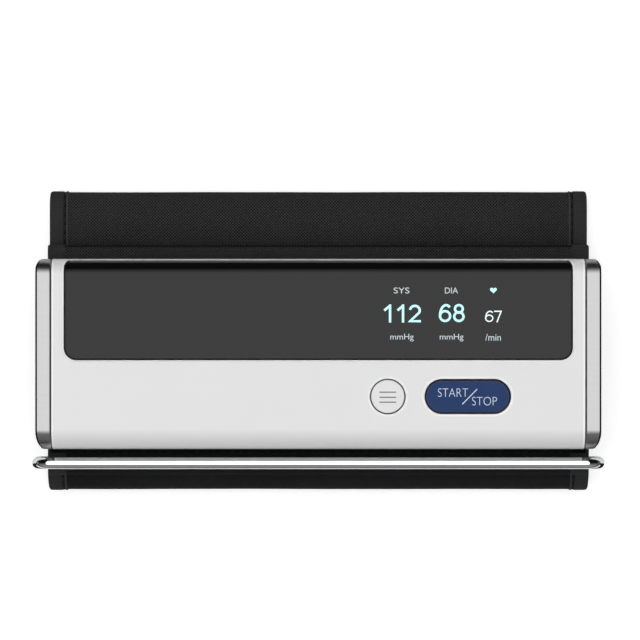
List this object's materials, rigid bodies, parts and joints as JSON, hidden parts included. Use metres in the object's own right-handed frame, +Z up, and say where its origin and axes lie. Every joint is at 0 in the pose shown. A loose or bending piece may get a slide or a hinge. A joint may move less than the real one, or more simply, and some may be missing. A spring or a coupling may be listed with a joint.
{
  "type": "upper arm blood pressure monitor",
  "caption": "One-piece upper arm blood pressure monitor: a slim display unit fixed on a flat-rolled fabric cuff, with press buttons, a swinging slot ring, an air pump and a release valve.",
  "frame": {"origin": "middle of the bounding box, on the surface that the rolled cuff lies on", "axes": "+Z up, out of the display; +X along the display, to the reader's right; +Y towards the display's long edge of the unit"},
  "size_m": [0.1536, 0.0815, 0.0353],
  "materials": {
    "white_shell": "satin gloss",
    "satin_cap": "satin",
    "lens_black": "polished dark panel",
    "display_black": "dark panel",
    "frame_plastic": "matte",
    "button_white": "satin gloss",
    "button_blue": "satin",
    "switch_black": "matte",
    "board_green": "solder mask",
    "battery_foil": "foil wrap",
    "sensor_grey": "matte",
    "port_steel": "plain",
    "motor_steel": "plain",
    "crank_brass": "machined",
    "pump_plastic": "matte",
    "cradle_rubber": "matte",
    "valve_plastic": "matte",
    "steel_bright": "bright",
    "manifold_plastic": "matte",
    "silicone": "translucent",
    "band_fabric": "fine mesh weave",
    "binding_tape": "smooth woven tape",
    "hook_tape": "hook tape",
    "plate_plastic": "matte",
    "bladder_film": "film",
    "sleeve_fabric": "dense weave",
    "ring_chrome": "polished",
    "screw_steel": "zinc plated"
  },
  "bodies": {
    "monitor": {"air_bladder": "bladder_film", "air_manifold": "manifold_plastic", "air_nozzle": "manifold_plastic", "backing_plate": "plate_plastic", "battery_pack": "battery_foil", "case_screw_1": "screw_steel", "case_screw_2": "screw_steel", "case_screw_3": "screw_steel", "case_screw_4": "screw_steel", "charging_port": "port_steel", "cuff_band": "band_fabric", "display_frame": "frame_plastic", "display_lens": "lens_black", "display_module": "display_black", "edge_binding_left": "binding_tape", "edge_binding_right": "binding_tape", "end_cap_left": "satin_cap", "end_cap_right": "satin_cap", "front_shell": "white_shell", "hook_tab": "hook_tape", "main_board": "board_green", "menu_switch": "switch_black", "mount_screw_1": "screw_steel", "mount_screw_2": "screw_steel", "mount_screw_3": "screw_steel", "mount_screw_4": "screw_steel", "pressure_sensor": "sensor_grey", "pump_cradle": "cradle_rubber", "pump_head": "pump_plastic", "pump_motor": "motor_steel", "pump_tube": "silicone", "rear_shell": "white_shell", "ring_sleeve": "sleeve_fabric", "sensor_tube": "silicone", "start_switch": "switch_black", "valve_body": "valve_plastic", "valve_spring": "steel_bright", "valve_tube": "silicone"},
    "start_stop_button": {"start_stop_button": "button_blue"},
    "menu_button": {"menu_button": "button_white"},
    "slot_ring": {"slot_ring": "ring_chrome"},
    "pump_crank": {"pump_crank": "crank_brass"},
    "valve_plunger": {"valve_plunger": "steel_bright"}
  },
  "joints": [
    {"name": "start_stop_press", "type": "slide", "parent": "monitor", "child": "start_stop_button", "axis": [0, 0, -1], "range_m": [0, 0.0005], "stiffness_N_per_m": 1500, "springref_m": -0.0003},
    {"name": "menu_press", "type": "slide", "parent": "monitor", "child": "menu_button", "axis": [0, 0, -1], "range_m": [0, 0.0005], "stiffness_N_per_m": 1500, "springref_m": -0.0003},
    {"name": "ring_swing", "type": "hinge", "parent": "monitor", "child": "slot_ring", "pos_m": [0, -0.03275, 0.0179], "axis": [1, 0, 0], "range_deg": [-12, 100]},
    {"name": "pump_spin", "type": "hinge", "parent": "monitor", "child": "pump_crank", "pos_m": [-0.032, 0.008, 0.0244], "axis": [1, 0, 0], "continuous": true},
    {"name": "valve_press", "type": "slide", "parent": "monitor", "child": "valve_plunger", "axis": [0, 0, -1], "range_m": [0, 0.0008], "stiffness_N_per_m": 300, "springref_m": -0.0004, "deforming": ["valve_spring"]}
  ]
}
